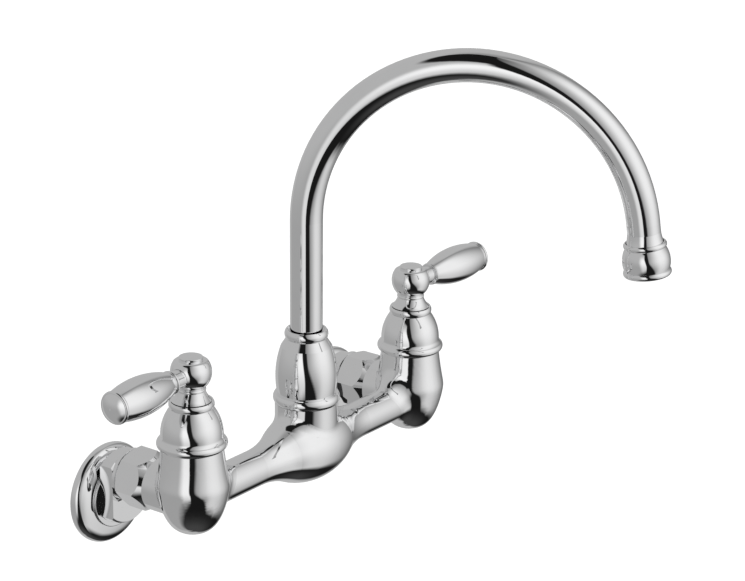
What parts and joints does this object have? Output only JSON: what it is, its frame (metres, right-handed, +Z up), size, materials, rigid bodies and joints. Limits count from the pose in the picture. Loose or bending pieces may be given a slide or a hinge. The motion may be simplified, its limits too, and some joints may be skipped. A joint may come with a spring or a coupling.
{
  "type": "wall-mounted kitchen faucet",
  "caption": "Polished wall-mounted kitchen faucet: bridge body with lever valves on eccentric wall unions and a tall swivelling gooseneck spout with an aerator.",
  "frame": {"origin": "on the wall's face, midway between the axes of the two supply inlets", "axes": "+X along the wall towards the right-hand valve as the user sees it, +Y into the wall, +Z up"},
  "size_m": [0.3398, 0.2577, 0.288],
  "materials": {
    "chrome": "polished",
    "brass": "machined",
    "rubber": "matte",
    "plastic": "matte",
    "steel": "brushed"
  },
  "bodies": {
    "bridge": {"bridge_body": "chrome", "spout_bearing": "plastic", "spout_nut": "chrome", "left_wall_flange": "chrome", "right_wall_flange": "chrome", "left_inlet_union": "chrome", "right_inlet_union": "chrome", "left_coupling_nut": "chrome", "right_coupling_nut": "chrome", "left_inlet_tailpiece": "brass", "right_inlet_tailpiece": "brass", "left_union_washer": "rubber", "right_union_washer": "rubber", "left_valve_seat": "rubber", "right_valve_seat": "rubber", "left_seat_spring": "steel", "right_seat_spring": "steel", "left_cartridge": "plastic", "right_cartridge": "plastic", "left_bonnet_nut": "brass", "right_bonnet_nut": "brass", "left_valve_dome": "chrome", "right_valve_dome": "chrome"},
    "left_handle": {"left_valve_stem": "brass", "left_stem_o_ring": "rubber", "left_handle_hub": "chrome", "left_lever": "chrome", "left_handle_screw": "steel", "left_index_button": "chrome"},
    "right_handle": {"right_valve_stem": "brass", "right_stem_o_ring": "rubber", "right_handle_hub": "chrome", "right_lever": "chrome", "right_handle_screw": "steel", "right_index_button": "chrome"},
    "spout": {"spout_tube": "chrome", "spout_spigot": "brass", "spout_o_rings": "rubber", "aerator_housing": "chrome", "aerator_washer": "rubber", "aerator_insert": "plastic", "aerator_screen": "steel"}
  },
  "joints": [
    {"name": "left_handle_turn", "type": "hinge", "parent": "bridge", "child": "left_handle", "pos_m": [-0.1016, -0.0673, 0.014], "axis": [0, 0, 1], "range_deg": [0, 90]},
    {"name": "right_handle_turn", "type": "hinge", "parent": "bridge", "child": "right_handle", "pos_m": [0.1016, -0.0673, 0.014], "axis": [0, 0, -1], "range_deg": [0, 90]},
    {"name": "spout_swivel", "type": "hinge", "parent": "bridge", "child": "spout", "pos_m": [0, -0.0673, 0.014], "axis": [0, 0, 1], "range_deg": [-115.8, 64.2]}
  ]
}
